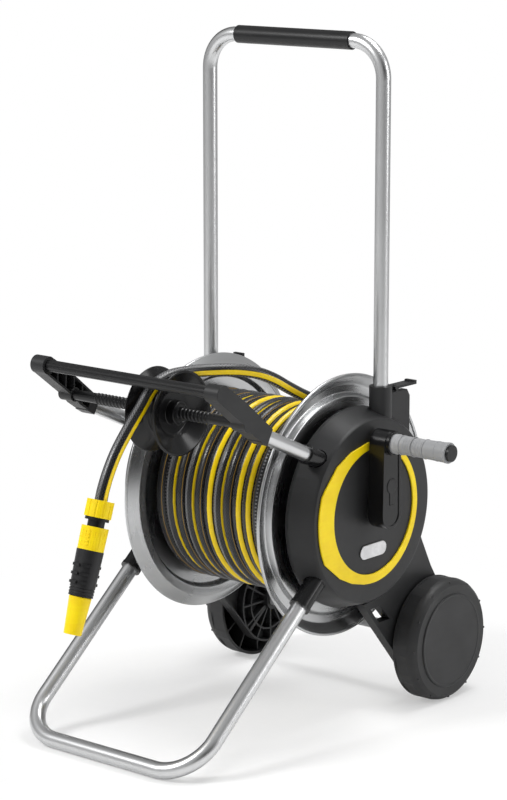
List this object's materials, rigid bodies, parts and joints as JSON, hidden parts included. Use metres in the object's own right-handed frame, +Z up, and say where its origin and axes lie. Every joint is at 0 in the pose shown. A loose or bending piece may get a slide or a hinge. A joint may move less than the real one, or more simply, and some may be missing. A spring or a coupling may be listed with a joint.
{
  "type": "hose reel cart",
  "caption": "Garden hose reel cart with a tubular push handle, spun flanges, crank, sliding hose guide and wheels.",
  "frame": {"origin": "on the ground, below the middle of the cart measured without its hose and nozzle", "axes": "+Z up, +X towards the crank side, -Y towards the front leg and the hose guide"},
  "size_m": [0.505, 0.6802, 0.9272],
  "materials": {
    "black_plastic": "matt moulded plastic with a fine grain",
    "gloss_black": "glossy moulded plastic",
    "yellow_plastic": "satin moulded plastic",
    "pale_plastic": "satin moulded plastic",
    "grey_plastic": "matt moulded plastic",
    "grey_rubber": "soft matt rubber",
    "black_rubber": "soft matt rubber",
    "aluminium_tube": "satin drawn tube",
    "spun_sheet": "spun and brushed sheet",
    "steel": "plain bright steel",
    "satin_badge": "satin",
    "hose_skin": "woven grain under a soft clear skin, with stripes"
  },
  "bodies": {
    "frame": {"right_cover": "black_plastic", "left_cover": "black_plastic", "reel_bearings": "pale_plastic", "right_ring": "yellow_plastic", "left_ring": "yellow_plastic", "badge_plate": "satin_badge", "leg_tube": "aluminium_tube", "leg_clips": "gloss_black", "stub_clips": "gloss_black", "right_stub": "aluminium_tube", "left_stub": "aluminium_tube", "right_bracket": "black_plastic", "left_bracket": "black_plastic", "guide_beam": "black_plastic", "guide_rod": "black_plastic", "axle_tube": "grey_plastic", "axle_rod": "steel", "axle_clips": "steel", "inlet_elbow": "black_plastic", "inlet_ring": "black_plastic", "inlet_nipple": "yellow_plastic", "inlet_seal": "black_rubber", "hose_tail_back": "hose_skin"},
    "reel": {"drum_core": "black_plastic", "right_flange": "spun_sheet", "left_flange": "spun_sheet", "drive_hub": "black_plastic", "water_hub": "black_plastic", "hub_seals": "black_rubber", "drum_outlet": "black_plastic", "flange_screws": "steel", "hose_winding": "hose_skin", "crank_arm": "black_plastic", "grip_pin": "steel"},
    "button": {"crank_button": "black_plastic"},
    "grip": {"crank_grip": "grey_rubber", "grip_cap": "black_plastic"},
    "wheel_right": {"right_wheel": "black_plastic", "right_wheel_cap": "black_plastic"},
    "wheel_left": {"left_wheel": "black_plastic", "left_wheel_cap": "black_plastic"},
    "push_handle": {"handle_tube": "aluminium_tube", "handle_sleeve": "black_rubber", "handle_plugs": "black_plastic"},
    "latch_right": {"right_latch": "black_plastic"},
    "latch_left": {"left_latch": "black_plastic"},
    "hose_guide": {"guide_bush": "pale_plastic", "hose_tail_front": "hose_skin", "hose_nut": "yellow_plastic", "hose_collet": "pale_plastic", "connector_body": "black_plastic", "connector_seal": "black_rubber", "nozzle_body": "black_plastic", "nozzle_grip": "black_rubber"},
    "roller": {"roller_halves": "black_plastic"},
    "release_sleeve": {"connector_sleeve": "yellow_plastic"},
    "spray_tip": {"nozzle_tip": "yellow_plastic"}
  },
  "joints": [
    {"name": "reel_turn", "type": "hinge", "parent": "frame", "child": "reel", "pos_m": [-0.0445, 0.0615, 0.2965], "axis": [1, 0, 0], "continuous": true},
    {"name": "grip_turn", "type": "hinge", "parent": "reel", "child": "grip", "pos_m": [0.2055, 0.0615, 0.3935], "axis": [1, 0, 0], "continuous": true},
    {"name": "button_push", "type": "slide", "parent": "reel", "child": "button", "axis": [-1, 0, 0], "range_m": [0, 0.003], "stiffness_N_per_m": 500, "springref_m": -0.001},
    {"name": "right_wheel_turn", "type": "hinge", "parent": "frame", "child": "wheel_right", "pos_m": [0.1275, 0.2135, 0.086], "axis": [1, 0, 0], "continuous": true},
    {"name": "left_wheel_turn", "type": "hinge", "parent": "frame", "child": "wheel_left", "pos_m": [-0.2165, 0.2135, 0.086], "axis": [1, 0, 0], "continuous": true},
    {"name": "handle_slide", "type": "slide", "parent": "frame", "child": "push_handle", "axis": [0, 0, 1], "range_m": [-0.155, 0]},
    {"name": "right_latch_lift", "type": "hinge", "parent": "frame", "child": "latch_right", "pos_m": [0.1084, 0.1225, 0.4525], "axis": [1, 0, 0], "range_deg": [0, 12], "stiffness_Nm_per_rad": 0.05, "springref_deg": -5.73},
    {"name": "left_latch_lift", "type": "hinge", "parent": "frame", "child": "latch_left", "pos_m": [-0.1974, 0.1225, 0.4525], "axis": [1, 0, 0], "range_deg": [0, 12], "stiffness_Nm_per_rad": 0.05, "springref_deg": -5.73},
    {"name": "guide_slide", "type": "slide", "parent": "frame", "child": "hose_guide", "axis": [1, 0, 0], "range_m": [-0.098, 0.048]},
    {"name": "roller_turn", "type": "hinge", "parent": "hose_guide", "child": "roller", "pos_m": [-0.0195, -0.1875, 0.4535], "axis": [1, 0, 0], "continuous": true},
    {"name": "sleeve_pull", "type": "slide", "parent": "hose_guide", "child": "release_sleeve", "axis": [0, 0.3214, 0.9469], "range_m": [0, 0.005], "stiffness_N_per_m": 600, "springref_m": -0.001},
    {"name": "tip_twist", "type": "hinge", "parent": "hose_guide", "child": "spray_tip", "pos_m": [-0.0195, -0.3145, 0.359], "axis": [0, 0.3214, 0.9469], "range_deg": [-90, 90]}
  ]
}
